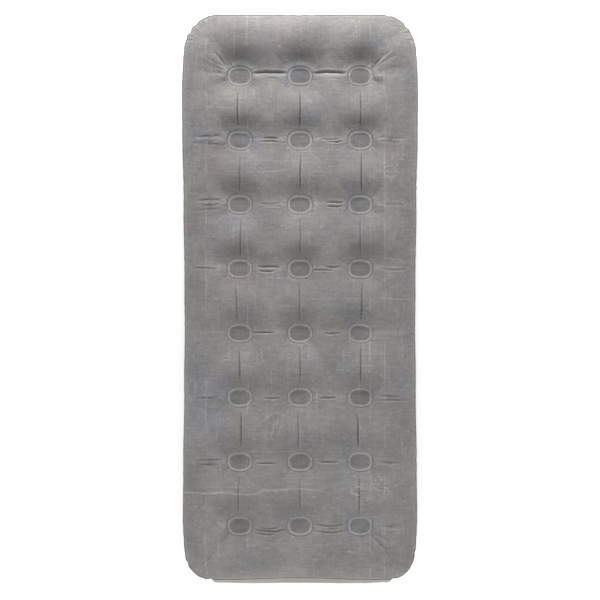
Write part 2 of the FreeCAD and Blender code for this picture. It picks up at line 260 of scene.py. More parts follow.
def rounded(loop, half, corners):
    """A rounded rectangle's points and outward normals, matched to points on a plain one of half side 1."""
    points = np.zeros_like(loop)
    normals = np.zeros_like(loop)
    for i, (u, v) in enumerate(loop):
        corner = corners["head" if v > 0 else "foot"]
        quarter = corner * math.pi / 4
        ends = abs(v) >= abs(u)
        run, far = (half[0], half[1]) if ends else (half[1], half[0])
        s = min(abs(u), abs(v)) * (run - corner + quarter)
        lean = max(0.0, s - (run - corner)) / corner
        across = min(s, run - corner) + corner * math.sin(lean)
        out = far - corner + corner * math.cos(lean)
        along, outward = (across, out), (math.sin(lean), math.cos(lean))
        points[i] = np.copysign(along if ends else along[::-1], (u, v))
        normals[i] = np.copysign(outward if ends else outward[::-1], (u, v))
    return points, normals


def grid_faces(rows):
    """Quads between neighbouring closed rows of point numbers."""
    rows = np.asarray(rows)
    here, out = rows[:-1], rows[1:]
    return np.stack([here, out, np.roll(out, -1, 1), np.roll(here, -1, 1)], -1).reshape(-1, 4)


def squared(turn, power):
    """Points round a circle, squared off by raising their coordinates to a power below 1."""
    circle = np.column_stack([np.cos(turn), np.sin(turn)])
    return np.sign(circle) * np.abs(circle) ** power


def cells():
    """The quilted cells of the top sheet, each from its dimple's oval to its share of the sheet."""
    ring = square_loop()
    turn = np.arctan2(ring[:, 1], ring[:, 0])
    steps = np.linspace(0, 1, CELL_ROWS + 1) ** 1.15
    start, flat, held, faces, ovals = [], [], [], [], []
    for row, cy in enumerate(ROWS):
        for column, cx in enumerate(COLUMNS):
            half = np.tile(PITCH / 2, (len(ring), 1))
            for axis, place, last in ((0, column, len(COLUMNS) - 1), (1, row, len(ROWS) - 1)):
                if place == 0:
                    half[ring[:, axis] < 0, axis] = OUTER[axis]
                if place == last:
                    half[ring[:, axis] > 0, axis] = OUTER[axis]
            centre = np.array([cx, cy])
            centre_flat = centre + (np.array([column, row]) - MIDDLE) * SPARE
            size = OVAL * (1 + RNG.normal(0, 0.012, 2))
            lean = RNG.normal(0, 0.02)
            oval = size * squared(turn, 2 / SQUARENESS)
            weld = oval + lean * oval[:, ::-1] * [-1, 1] + RNG.normal(0, 0.8 * MM, 2)
            base = sum(map(len, start))
            ovals.append(base + np.arange(len(ring)))
            for t in steps:
                place_now = weld * (1 - t) + ring * half * t
                away = np.hypot(*(place_now - weld).T)
                rise = np.sin(math.pi / 2 * np.minimum(1, away / (75 * MM))) ** 1.1
                start.append(np.column_stack([centre + place_now, DISC_Z + (HEIGHT - DISC_Z) * rise]))
                flat.append(centre_flat + oval * (1 - t) + ring * (half + SPARE / 2) * t)
                held.append(np.full(len(ring), t == 0))
            faces.append(grid_faces(base + np.arange(len(steps) * len(ring)).reshape(len(steps), -1)))
    start, flat, held, faces = map(np.concatenate, (start, flat, held, faces))
    key = np.round(flat / (0.01 * MM) + 0.2345).astype(np.int64)
    _, first, where = np.unique(key, axis=0, return_index=True, return_inverse=True)
    where = where.ravel()
    return start[first], flat[first], held[first], where[faces], where[np.array(ovals)]


def quilt():
    """The top sheet outside its dimples and the side wall as one mesh, with its flat pattern."""
    start, flat, held, faces, ovals = cells()
    reach = (flat.max(0) - flat.min(0)) / 2
    unit = (flat - flat.min(0)) / reach - 1
    edge = np.nonzero(np.abs(unit).max(1) > 1 - 1e-6)[0]
    edge = edge[np.argsort(np.arctan2(unit[edge, 1], unit[edge, 0]))]
    half = np.array([HALF_WIDTH, HALF_LENGTH]) - SWELL
    bulge, out = rounded(unit[edge], half, CORNERS)
    bulge[:, 0] -= WAIST * (1 - (bulge[:, 1] / HALF_LENGTH) ** 2) * out[:, 0]
    bulge[:, 1] += FOOT_STEP * smooth(-bulge[:, 1] / HALF_LENGTH)
    for end, way in (("foot", -1), ("head", 1)):
        between = np.clip(1 - (bulge[:, 0] / FOOT_HALF) ** 2, 0, 1)
        bulge[:, 1] -= way * HOLLOW[end] * between * np.clip(way * out[:, 1], 0, 1)
    rim_line = bulge - out * RIM
    crest = start[edge, :2]
    level = np.hypot(*(rim_line - crest).T)
    fall = (math.pi / 2 - SEAM_ANGLE) * RIM
    last_cell = np.array([COLUMNS[-1] - COLUMNS[0], ROWS[-1] - ROWS[0]]) / 2 + OUTER
    flat_half = reach + half - RIM - last_cell + fall
    seam_flat, _ = rounded(unit[edge], flat_half, FLAT_CORNERS)
    seam_flat[:, 1] += FOOT_STEP * smooth(-seam_flat[:, 1] / flat_half[1])
    points, pattern, pinned = [start], [np.column_stack([flat, np.zeros(len(flat))])], [held]
    rows = [edge]
    top_count = len(start) + BORDER_ROWS * len(edge)

    def extend(xy, z, flat_xy, flat_z, hold):
        """Adds one row of points round the sheet, with its place in the pattern."""
        rows.append(sum(map(len, points)) + np.arange(len(edge)))
        points.append(np.column_stack([xy, z]))
        pattern.append(np.column_stack([flat_xy, np.full(len(edge), flat_z)]))
        pinned.append(np.full(len(edge), hold))

    for step in range(1, BORDER_ROWS + 1):
        t = step / BORDER_ROWS
        gone = t * (level + fall)
        angle = math.pi / 2 - np.maximum(0, gone - level) / RIM
        on_crest = crest + (rim_line - crest) * np.minimum(1, gone / level)[:, None]
        xy = np.where((gone < level)[:, None], on_crest, rim_line + out * (RIM * np.cos(angle))[:, None])
        extend(xy, RIM + RIM * np.sin(angle), flat[edge] * (1 - t) + seam_flat * t, 0.0, False)
    for step in range(1, BAND_ROWS + 1):
        angle = SEAM_ANGLE * (1 - 2 * step / BAND_ROWS)
        drop = -2 * SEAM_ANGLE * RIM * step / BAND_ROWS
        full = np.full(len(edge), RIM + RIM * math.sin(angle))
        extend(rim_line + out * RIM * math.cos(angle), full, seam_flat, drop, step == BAND_ROWS)
    border = grid_faces(rows[: BORDER_ROWS + 1])
    return {
        "start": np.concatenate(points),
        "pattern": np.concatenate(pattern),
        "pinned": np.concatenate(pinned),
        "top_faces": np.concatenate([faces, border]),
        "band_faces": grid_faces(rows[BORDER_ROWS:]),
        "rows": rows,
        "seam": rows[BORDER_ROWS],
        "ovals": ovals,
        "out": out,
        "bulge": bulge,
        "top_count": top_count,
    }


def mesh_object(name, points, faces):
    """A new object in the scene from points and faces, smooth shaded."""
    mesh = bpy.data.meshes.new(name)
    mesh.from_pydata(points.tolist(), [], faces)
    mesh.shade_smooth()
    made = bpy.data.objects.new(name, mesh)
    bpy.context.scene.collection.objects.link(made)
    return made


def points_of(mesh):
    """A mesh's points as rows of numbers."""
    points = np.empty(len(mesh.vertices) * 3, np.float32)
    mesh.vertices.foreach_get("co", points)
    return points.reshape(-1, 3).astype(float)


def inflated(parts):
    """The quilt under air pressure, by cloth simulation: its pattern is flat, so it gathers into creases."""
    start = parts["start"].copy()
    pattern = parts["pattern"].copy()
    free = ~parts["pinned"]
    start[free] += RNG.normal(0, 0.3 * MM, (int(free.sum()), 3))
    pattern[:, 0] += waves(parts["start"], 1.3 * MM, 160 * MM, 1)
    pattern[:, 1] += waves(parts["start"], 1.3 * MM, 160 * MM, 2)
    faces = np.concatenate([parts["top_faces"], parts["band_faces"]]).tolist()
    cloth = mesh_object("cloth", start * CLOTH_SCALE, faces)
    cloth.shape_key_add(name="start")
    rest = cloth.shape_key_add(name="pattern")
    rest.data.foreach_set("co", (pattern * CLOTH_SCALE).astype(np.float32).ravel())
    rest.value = 0
    group = cloth.vertex_groups.new(name="held")
    group.add(np.nonzero(parts["pinned"])[0].tolist(), 1.0, "REPLACE")
    modifier = cloth.modifiers.new("Cloth", "CLOTH")
    settings = modifier.settings
    settings.vertex_group_mass = "held"
    settings.rest_shape_key = rest
    for setting, value in CLOTH.items():
        setattr(settings, setting, value)
    settings.effector_weights.gravity = 0
    modifier.collision_settings.use_collision = False
    modifier.point_cache.frame_start = 1
    modifier.point_cache.frame_end = FRAMES
    for number in range(1, FRAMES + 1):
        bpy.context.scene.frame_set(number)
    graph = bpy.context.evaluated_depsgraph_get()
    points = points_of(cloth.evaluated_get(graph).data) / CLOTH_SCALE
    bpy.data.objects.remove(cloth)
    bpy.context.scene.frame_set(1)
    return points


# ======== folds and creases
# A sheet's points here have a fourth number: how much paler, or if negative darker, the flock is painted
# there, as painted shade in the creases and painted highlights beside them.

def from_ovals(points):
    """Each point's distance out from the nearest dimple's weld, negative inside, and that dimple's centre."""
    column = np.abs(points[:, 0:1] - COLUMNS).argmin(1)
    row = np.abs(points[:, 1:2] - ROWS).argmin(1)
    centre = np.column_stack([COLUMNS[column], ROWS[row]])
    away = points[:, :2] - centre
    share = ((np.abs(away) / OVAL) ** SQUARENESS).sum(1) ** (1 / SQUARENESS)
    return np.hypot(*away.T) * (1 - 1 / np.maximum(share, 1e-6)), centre


def fold(points, path, width, depth, dark, pale=0.0):
    """Presses a crease along a path: a groove with raised shoulders, painted darker inside as shade and
    painted paler beside it as a highlight.
    """
    path = np.asarray(path, float)
    margin = 5 * width
    low, high = path.min(0) - margin, path.max(0) + margin
    near = np.nonzero(((points[:, :2] > low) & (points[:, :2] < high)).all(1))[0]
    here = points[near, :2]
    nearest = np.full(len(near), 1.0)
    beside = np.zeros(len(near))
    place = np.zeros(len(near))
    for k, (a, b) in enumerate(zip(path[:-1], path[1:])):
        run = b - a
        t = np.clip((here - a) @ run / (run @ run), 0, 1)
        gap = here - a - t[:, None] * run
        away = np.hypot(*gap.T)
        closer = away < nearest
        nearest[closer] = away[closer]
        beside[closer] = (np.sign(run[0] * gap[:, 1] - run[1] * gap[:, 0]) * away)[closer]
        place[closer] = (k + t[closer]) / (len(path) - 1)
    taper = np.sin(math.pi * np.clip(place, 0, 1)) ** 0.5
    groove = bell(nearest, width)
    shoulder = bell(nearest - 2.1 * width, width)
    points[near, 2] -= depth * taper * (groove - 0.38 * shoulder)
    # painted shade along the groove, and a painted highlight in a line beside it
    line = bell(beside + 1.7 * width, 0.8 * width)
    points[near, 3] += taper * (pale * line - dark * groove)


def wandering(start, end, bow, steps=9):
    """A slightly bent and uneven line between two places."""
    start, end = np.array(start), np.array(end)
    t = np.linspace(0, 1, steps)[:, None]
    across = np.array([start[1] - end[1], end[0] - start[0]])
    across = across / np.hypot(*across)
    drift = bow * np.sin(math.pi * t) + RNG.normal(0, 0.5 * MM, (steps, 1))
    return start + (end - start) * t + across * drift


def row_folds(points):
    """Short creases across the bed between neighbouring dimples of a row, one under another."""
    for row, count in zip(ROWS, ROW_FOLDS):
        for middle in GAPS:
            for k in range(count):
                level = row + ((count - 1) / 2 - k) * 10 * MM + RNG.normal(0, 1.5 * MM)
                shift = RNG.normal(0, 7 * MM)
                half = RNG.uniform(25, 36) * MM
                bow = RNG.normal(0, 1.5 * MM)
                path = wandering((middle + shift - half, level), (middle + shift + half, level), bow)
                fold(points, path, 2.7 * MM, RNG.uniform(2.6, 4.0) * MM, RNG.uniform(0.25, 0.42), 0.34)
    for middle in GAPS:
        half = PITCH[0] / 2 - OVAL[0] + 2 * MM
        level = ROWS[-1] + 10 * MM
        path = wandering((middle - half, level), (middle + half, level), 3 * MM)
        fold(points, path, 3.5 * MM, 6 * MM, 0.34, 0.5)
        path = wandering((middle - half / 3, level - 19 * MM), (middle + half / 2, level - 20 * MM), 2 * MM)
        fold(points, path, 2.8 * MM, 1.6 * MM, 0.1, 0.1)


def foot_folds(points):
    """The foot row's creases: a crowded few in the left gap, and long wavy ones across the right one."""
    full = PITCH[0] / 2 - OVAL[0]
    for gap, first, last, level, slant, bow, dark in FOOT_FOLDS:
        start = (GAPS[gap] + first * full, ROWS[0] + level * MM)
        end = (GAPS[gap] + last * full, ROWS[0] + (level + slant) * MM)
        fold(points, wandering(start, end, bow * MM), 2.7 * MM, 3 * MM, dark, 0.2)
    side = COLUMNS[-1] + OVAL[0]
    path = wandering((side + 20 * MM, ROWS[0] - 2 * MM), (side + 130 * MM, ROWS[0] - 7 * MM), 3 * MM)
    fold(points, path, 3 * MM, 1 * MM, 0.05, 0.14)
    for k in range(3):
        start = np.array([COLUMNS[0] - 62 * MM - 9 * MM * k, ROWS[0] - 46 * MM + 4 * MM * k])
        path = wandering(start, start + np.array([-42, -38]) * MM, 2 * MM)
        fold(points, path, 3 * MM, 1.4 * MM, 0.1, 0.08)


def column_folds(points):
    """A long thin crease down the bed between each two dimples of a column."""
    for x in COLUMNS:
        for low, high in zip(ROWS[:-1], ROWS[1:]):
            at = x + RNG.normal(0, 3 * MM)
            low_gap = OVAL[1] + RNG.uniform(2, 14) * MM
            high_gap = OVAL[1] + RNG.uniform(4, 16) * MM
            end = (at + RNG.normal(0, 2 * MM), high - high_gap)
            path = wandering((at, low + low_gap), end, RNG.normal(0, 1.2 * MM))
            fold(points, path, 2.4 * MM, RNG.uniform(1.6, 2.6) * MM, RNG.uniform(0.4, 0.75), 0.28)


def fan(points, column, row, angles, depth, reach):
    """Creases that spread from one dimple towards the edge of the bed."""
    for angle in angles:
        heading = math.radians(angle + RNG.normal(0, 2))
        way = np.array([math.cos(heading), math.sin(heading)])
        first = 1 / np.hypot(*(way / OVAL)) + RNG.uniform(6, 20) * MM
        last = first + reach * RNG.uniform(0.6, 1.1)
        centre = np.array([column, row])
        path = wandering(centre + way * first, centre + way * last, RNG.normal(0, 3 * MM))
        fold(points, path, 3 * MM, depth * RNG.uniform(0.6, 1.1), 0.18, 0.2)


def side_folds(points):
    """Wrinkles between the outer dimples and the long sides, level with each row, and fans at the corners."""
    for side in (-1, 1):
        for row, count in zip(ROWS, SIDE_FOLDS[side]):
            for k in range(count):
                level = row + ((count - 1) / 2 - k) * 13 * MM + RNG.normal(0, 2 * MM)
                near = side * (COLUMNS[-1] + OVAL[0] + RNG.uniform(16, 26) * MM)
                far = near + side * RNG.uniform(65, 92) * MM
                end = (far, level + RNG.normal(0, 2 * MM))
                path = wandering((near, level), end, RNG.normal(0, 1.2 * MM))
                strength = 1.3 if side < 0 else 1.0
                fold(points, path, 2.9 * MM, strength * RNG.uniform(1.8, 3.0) * MM, 0.24 * strength, 0.24)
    fan(points, COLUMNS[0], ROWS[-1], (139, 150, 161, 171, 182), 2.3 * MM, 80 * MM)
    fan(points, COLUMNS[-1], ROWS[-1], (41, 29, 15, 3), 2.0 * MM, 70 * MM)
    fan(points, COLUMNS[-1], ROWS[0], (-24, -40), 1.4 * MM, 70 * MM)


def evened(points, faces):
    """The sheet with its small unevenness outside the dimples smoothed out."""
    away, _ = from_ovals(points)
    share = 0.5 * smooth((away - 10 * MM) / (25 * MM)) * (points[:, 2] > RIM + 55 * MM)
    start, end = faces.ravel(), np.roll(faces, -1, 1).ravel()
    neighbours = np.maximum(np.bincount(start, minlength=len(points)), 1)
    for _ in range(EVENING):
        mean = np.bincount(start, points[end, 2], len(points)) / neighbours
        points[:, 2] += share * (mean - points[:, 2])
    return points


def rim_folds(points, parts):
    """Short puckers square to the seam round the bed's corners."""
    bulge, out = parts["bulge"], parts["out"]
    rounding = np.nonzero(np.abs(out).min(1) > 0.12)[0]
    for place in rounding[::3]:
        way = out[place] + RNG.normal(0, 0.12, 2)
        first = bulge[place] - way * RNG.uniform(6, 14) * MM
        path = wandering(first, first - way * RNG.uniform(22, 48) * MM, RNG.normal(0, 1.5 * MM), 5)
        depth = RNG.uniform(0.8, 2.0) * MM
        fold(points, path, 2.8 * MM, depth, RNG.uniform(0.05, 0.14), RNG.uniform(0.05, 0.2))


def settled(parts, shape):
    """The inflated top sheet drawn tighter round its dimples, with shallow troughs joining them."""
    points = evened(shape[: parts["top_count"]].copy(), parts["top_faces"])
    away, centre = from_ovals(points)
    outside = away > 0
    inward = points[:, :2] - centre
    inward /= np.maximum(np.hypot(*inward.T), 1e-6)[:, None]
    tuck = TUCK * (away / TUCK_AT) * np.exp(1 - away / TUCK_AT)
    points[outside, :2] -= (inward * tuck[:, None])[outside]
    rise = np.clip((points[:, 2] - DISC_Z) / (HEIGHT - DISC_Z), 0, None)
    near = bell(np.maximum(away, 0), 60 * MM)
    steeper = DISC_Z + (HEIGHT - DISC_Z) * rise**0.7
    lifted = outside & (points[:, 2] > DISC_Z)
    points[lifted, 2] += ((steeper - points[:, 2]) * near)[lifted]
    row = ROWS[np.abs(points[:, 1:2] - ROWS).argmin(1)]
    beyond = (points[:, 1] > ROWS[-1]) | (points[:, 1] < ROWS[0])
    reach = np.where(beyond, END_ROLL, PITCH[1] / 2)
    valley = (0.5 + 0.5 * np.cos(math.pi * np.clip((points[:, 1] - row) / reach, -1, 1))) ** 1.2
    inside = smooth((HALF_WIDTH - 15 * MM - np.abs(points[:, 0])) / (80 * MM))
    roll = np.interp(points[:, 1], TONE_ROWS, ROLLS)
    roll *= FOOT_SIDE + (1 - FOOT_SIDE) * smooth((points[:, 1] - row) / (16 * MM) + 0.35)
    points[:, 2] -= roll * valley * inside * smooth(away / (30 * MM)) * (points[:, 2] > DISC_Z)
    over = points[:, 2] > CREST - SOFT
    points[over, 2] = CREST - SOFT + SOFT * np.tanh((points[over, 2] - CREST + SOFT) / SOFT)
    points[parts["seam"]] = shape[parts["seam"]]
    return points


# ======== pieces of the bed

def refined(points, faces, sharp):
    """A mesh's points and quads after one smooth subdivision, with the sharp rows of points kept sharp."""
    rough = mesh_object("rough", points, faces)
    mesh = rough.data
    ends = np.empty(len(mesh.edges) * 2, np.int32)
    mesh.edges.foreach_get("vertices", ends)
    kept = np.isin(ends.reshape(-1, 2), sharp).all(1)
    creases = mesh.attributes.new("crease_edge", "FLOAT", "EDGE").data
    creases.foreach_set("value", kept.astype(np.float32))
    rough.modifiers.new("Refine", "SUBSURF").levels = 1
    fine = rough.evaluated_get(bpy.context.evaluated_depsgraph_get()).data
    result = points_of(fine)
    corners = np.empty(len(fine.loops), np.int32)
    fine.loops.foreach_get("vertex_index", corners)
    bpy.data.objects.remove(rough)
    return result, corners.reshape(-1, 4)


def discs(points, ovals, side):
    """The welded discs at the bottoms of the dimples: a raised weld round a slightly domed middle."""
    new_points, faces = [], []
    base = len(points)
    for oval in ovals:
        edge = points[oval]
        middle = edge.mean(0)
        reach = np.hypot(*(edge - middle)[:, :2].T)
        rows = [oval]
        for inward, rise in DISC_SHAPE:
            ring = middle + (edge - middle) * (1 - inward / reach)[:, None]
            ring[:, 2] = edge[:, 2] + side * rise
            rows.append(base + np.arange(len(oval)))
            new_points.append(ring)
            base += len(oval)
        faces += grid_faces(rows)[:, ::-1].tolist()
        crown = middle.copy()
        crown[2] += side * DISC_SHAPE[-1][1]
        new_points.append(crown[None])
        last = rows[-1]
        faces += [[int(last[k]), int(last[(k + 1) % len(last)]), base] for k in range(len(last))]
        base += 1
    return np.concatenate([points] + new_points), faces


def with_lip(points, faces, seam, out, side, layer):
    """A mesh with the welded lip that stands out from its upper (side 1) or lower (-1) seam."""
    away = np.column_stack([out * math.cos(SEAM_ANGLE), np.full(len(out), side * math.sin(SEAM_ANGLE))])
    across = np.column_stack([-out * math.sin(SEAM_ANGLE), np.full(len(out), side * math.cos(SEAM_ANGLE))])
    place = np.arange(len(out))[:, None]
    ripple = 1 + 0.12 * np.sin(place * 0.9) * np.sin(place * 0.23)
    rows, numbers = [points], [seam]
    for part, rise in LIP_SHAPE:
        numbers.append(sum(map(len, rows)) + np.arange(len(seam)))
        rows.append(points[seam] + away * LIP * part * ripple + across * layer * rise)
    return np.concatenate(rows), faces + grid_faces(numbers).tolist()


def marked(piece, points, shade):
    """Stores how much paler or darker the flock is drawn, for the flock's material: pale welds, darker discs,
    and painted shade and highlights round the dimples, in the creases and along the edges.
    """
    away, centre = from_ovals(points)
    beside, above = (points[:, :2] - centre).T
    # painted shade on the slope above each dimple, longer in the head row
    long = 1 + 0.7 * (centre[:, 1] == ROWS[-1])
    painted_shade_above = bell(beside, 44 * MM) * bell(above - OVAL[1] - 16 * MM * long, 33 * MM * long)
    painted_shade_above *= np.interp(centre[:, 1], TONE_ROWS, PAINTED_SHADE_ABOVE)
    # a painted highlight on the slope below each dimple, stronger towards the head
    painted_light_below = bell(beside, 48 * MM) * bell(above + OVAL[1] + 34 * MM, 24 * MM)
    painted_light_below *= np.interp(centre[:, 1], END_ROWS, PAINTED_LIGHT_BELOW)
    low = np.abs(points[:, 2] - DISC_Z) < 4 * MM
    # painted shade and highlight: each weld is drawn paler on its head side in the head rows and on its foot
    # side in the foot rows
    lean = above / OVAL[1] * np.interp(centre[:, 1], END_ROWS, (-0.3, 0.55))
    weld = 0.55 * (1 + lean) * np.exp(-(((away + 6.3 * MM) / (5.2 * MM)) ** 4))
    disc = -0.12 * smooth((-away - 11 * MM) / (3 * MM))
    # painted sheen along the long sides
    rim = 0.06 * smooth((np.abs(points[:, 0]) - HALF_WIDTH + 48 * MM) / (25 * MM))
    # painted sheen along the foot's edge, across its middle
    middle = np.clip(1 - (points[:, 0] / HALF_WIDTH) ** 2, 0, 1)
    foot = 0.14 * middle * smooth((130 * MM - HALF_LENGTH - points[:, 1]) / (60 * MM))
    total = shade + (weld + disc) * low - painted_shade_above + painted_light_below + rim + foot
    piece.data.attributes.new("pile_and_shade", "FLOAT", "POINT").data.foreach_set("value", total.astype(np.float32))


def with_welds(parts, points, side):
    """A quilted sheet's points and faces with its welded discs and its seam's lip."""
    points, round_faces = discs(points, parts["ovals"], side)
    faces = parts["top_faces"].tolist() + round_faces
    return with_lip(points, faces, parts["seam"], parts["out"], side, 1)


def top_skin(parts, sheet):
    """The flocked sleeping surface with its dimples, creases and seam lip."""
    points, faces = refined(*with_welds(parts, sheet, 1), parts["seam"])
    points = np.column_stack([points, np.zeros(len(points))])
    row_folds(points)
    foot_folds(points)
    column_folds(points)
    side_folds(points)
    rim_folds(points, parts)
    skin = mesh_object("top_skin", points[:, :3], faces.tolist())
    marked(skin, points, points[:, 3])
    return skin


def wall_skin(parts, shape):
    """The plain side wall between the two seams, with the recess for the valve."""
    first = parts["seam"][0]
    points = shape[first:]
    faces = (parts["band_faces"] - first).tolist()
    upper, lower = parts["seam"] - first, parts["rows"][-1] - first
    points, faces = with_lip(points, faces, upper, parts["out"], 1, -1)
    points, faces = with_lip(points, faces, lower, parts["out"], -1, -1)
    points, faces = refined(points, faces, np.concatenate([upper, lower]))
    points, around = recessed(points)
    faces = faces[(around[faces] > HOLE).any(1)]
    return mesh_object("wall_skin", points, faces.tolist())


def recessed(points):
    """The wall drawn in to the valve's flat seat with pleats round it, and each point's distance from it."""
    out = np.array(VALVE_OUT)
    from_valve = points - np.array(VALVE_AT)
    height = from_valve @ out
    flat = from_valve - height[:, None] * out
    around = np.linalg.norm(flat, axis=1)
    around[from_valve[:, 1] > 0.1] = 1.0
    full = smooth((around - RECESS[0]) / (RECESS[1] - RECESS[0]))
    turn = np.arctan2(flat[:, 2], flat[:, 0])
    pleat = 0.7 * MM * np.sin(turn * 17 + np.sin(turn * 3)) * full * (1 - full) * 4
    new_height = (height + pleat) * full - 0.3 * MM * (1 - full)
    moved = around < RECESS[1]
    points = points.copy()
    points[moved] += ((new_height - height)[:, None] * out)[moved]
    return points, around


def bottom_skin(parts, sheet, shape):
    """The underside: the same quilting turned over, meeting the lower seam."""
    points = sheet * [1, 1, -1] + [0, 0, HEIGHT]
    gap = shape[parts["rows"][-1]] - points[parts["seam"]]
    for k in range(1, BORDER_ROWS + 1):
        points[parts["rows"][k]] += gap * smooth(k / BORDER_ROWS)
    points, faces = with_welds(parts, points, -1)
    lift = points[:, 2] - FLOOR_GAP
    points[:, 2] = FLOOR_GAP + (lift + np.sqrt(lift**2 + FLOOR_SOFT**2)) / 2
    return mesh_object("bottom_skin", points, [face[::-1] for face in faces])


def drawn_in(parts, shape):
    """The rim puckered and, near the corners, pinched; the wall held flatter, and fuller along the foot."""
    shape = shape.copy()
    rows = parts["rows"][1:]
    bulge, out = parts["bulge"], parts["out"]
    steps = np.hypot(*(bulge - np.roll(bulge, 1, 0)).T)
    along = np.cumsum(steps)
    count = round(along[-1] / PUCKER_LENGTH)
    phase = 2 * math.pi * along / along[-1]
    pucker = np.sin(phase * count + 2 * np.sin(phase * 9)) * (0.6 + 0.4 * np.sin(phase * 23))
    for k, row in enumerate(rows):
        to_seam = min(abs(k + 1 - BORDER_ROWS), abs(k + 1 - BORDER_ROWS - BAND_ROWS))
        shape[row, :2] += out * (PUCKER * bell(to_seam, 3.5) * pucker)[:, None]
    for row in rows[BORDER_ROWS:]:
        beyond = ((shape[row, :2] - shape[parts["seam"], :2]) * out).sum(1)
        shape[row, :2] -= out * (WALL_HELD * np.maximum(0, beyond))[:, None]
    for place, depth in PINCHES:
        nearest = np.hypot(*(bulge - place).T).argmin()
        gap = np.abs(along - along[nearest])
        pinch = depth * (bell(gap, 7 * MM) - 0.3 * bell(gap - 17 * MM, 8 * MM))
        for k, row in enumerate(rows):
            share = smooth((k - BORDER_ROWS * 0.45) / (BORDER_ROWS * 0.5))
            shape[row, :2] -= out * (pinch * share)[:, None]
    for row in rows[BORDER_ROWS:]:
        edge = shape[row]
        foot = smooth((-edge[:, 1] - HALF_LENGTH + 70 * MM) / (40 * MM))
        between = smooth((FOOT_HALF - np.abs(edge[:, 0] - 6 * MM)) / (12 * MM))
        low = smooth((RIM + 66 * MM - edge[:, 2]) / (40 * MM)) * smooth((edge[:, 2] - 34 * MM) / (30 * MM))
        filled = FOOT_WALL + 0.7 * HOLLOW["foot"] * (1 - (edge[:, 0] / FOOT_HALF) ** 2)
        shape[row, :2] += out * (filled * foot * between * low)[:, None]
    return shape


def in_valve(points):
    """Points given across, up and out from the valve's seat, in the shared frame."""
    up = VALVE_OUT.cross(Vector((1, 0, 0)))
    axes = np.array([(1, 0, 0), up[:], VALVE_OUT[:]])
    return np.asarray(points) @ axes + np.array(VALVE_AT)


def soft_bar(width, thick):
    """The outline of a bar with rounded edges, as (across, height) points."""
    turn = np.linspace(0, 2 * math.pi, 21)[:-1]
    return squared(turn, 0.35) * [width / 2, thick / 2]


def strap():
    """The cap's tether: a ring under the insert's head and a narrow strap that doubles back to the clip."""
    section = soft_bar(RING_WIDTH, STRAP_THICK)
    turn = np.linspace(0, 2 * math.pi, 97)[:-1]
    reach = STRAP_RING + section[:, 0]
    level = STRAP_LEVEL + section[:, 1]
    points = [in_valve(np.column_stack([reach * math.cos(a), reach * math.sin(a), level])) for a in turn]
    rows = np.arange(len(turn) * len(section)).reshape(len(turn), -1)
    faces = grid_faces(np.concatenate([rows, rows[:1]]))
    section = soft_bar(STRAP_WIDTH, STRAP_THICK)
    tip = STRAP_TIP - STRAP_BEND
    line = [(x, STRAP_LEVEL, 0.0) for x in np.linspace(STRAP_START, tip, 12)]
    for a in np.linspace(0.3, math.pi, 12):
        line.append((tip + STRAP_BEND * math.sin(a), STRAP_LEVEL + STRAP_BEND - STRAP_BEND * math.cos(a), a))
    line += [(x, STRAP_LEVEL + 2 * STRAP_BEND, math.pi) for x in np.linspace(tip - 0.6 * MM, STRAP_END, 10)]
    base = len(rows) * len(section)
    for x, height, lean in line:
        across, thick = section.T
        turned = [x - thick * math.sin(lean), across, height + thick * math.cos(lean)]
        points.append(in_valve(np.column_stack(turned)))
    rows = base + np.arange(len(line) * len(section)).reshape(len(line), -1)
    faces = faces.tolist() + grid_faces(rows).tolist() + [rows[0].tolist(), rows[-1][::-1].tolist()]
    return mesh_object("strap", np.concatenate(points), faces)


# ======== materials

def add(tree, kind, values, **settings):
    """A new node with its settings, and each input set to a value or joined to another node's output."""
    made = tree.nodes.new("ShaderNode" + kind)
    for name, value in settings.items():
        setattr(made, name, value)
    for socket, value in values.items():
        if isinstance(value, bpy.types.NodeSocket):
            tree.links.new(value, made.inputs[socket])
        else:
            made.inputs[socket].default_value = value
    return made


def noise(tree, at, scale, detail=2.0, rough=0.5, distortion=0.0):
    """Seeded cloudy noise from 0 to 1, about this many clouds to the metre."""
    values = {"Vector": at, "Scale": scale, "Detail": detail, "Roughness": rough, "Distortion": distortion}
    return add(tree, "TexNoise", values).outputs[0]


def spread(tree, value, low, high, to_low, to_high):
    """One value's range laid smoothly onto another."""
    values = {"Value": value, "From Min": low, "From Max": high, "To Min": to_low, "To Max": to_high}
    return add(tree, "MapRange", values, interpolation_type="SMOOTHSTEP").outputs[0]


def maths(tree, kind, *values):
    """Values put together one after another by one kind of sum or comparison."""
    total = values[0]
    for value in values[1:]:
        total = add(tree, "Math", {0: total, 1: value}, operation=kind).outputs[0]
    return total


def product(tree, *values):
    """All the values multiplied together."""
    return maths(tree, "MULTIPLY", *values)


def from_line(tree, place, line):
    """How far a place is from a line."""
    return maths(tree, "ABSOLUTE", maths(tree, "SUBTRACT", place, line), 0.0)


def varied(tree, at, by, scale, detail, rough=0.5, distortion=0.0):
    """A brightness that wanders this far below and above 1."""
    return spread(tree, noise(tree, at, scale, detail, rough, distortion), 0.3, 0.7, 1 - by, 1 + by)


def stretched(tree, at, by):
    """Coordinates multiplied on each axis, which stretches a pattern along the axes with small numbers."""
    return add(tree, "VectorMath", {0: at, 1: by}, operation="MULTIPLY").outputs[0]


def new_material(name):
    """An empty material: its node tree, its shader and object coordinates."""
    material = bpy.data.materials.new(name)
    material.use_nodes = True
    tree = material.node_tree
    shader = tree.nodes["Principled BSDF"]
    at = tree.nodes.new("ShaderNodeTexCoord").outputs["Object"]
    return material, tree, shader, at


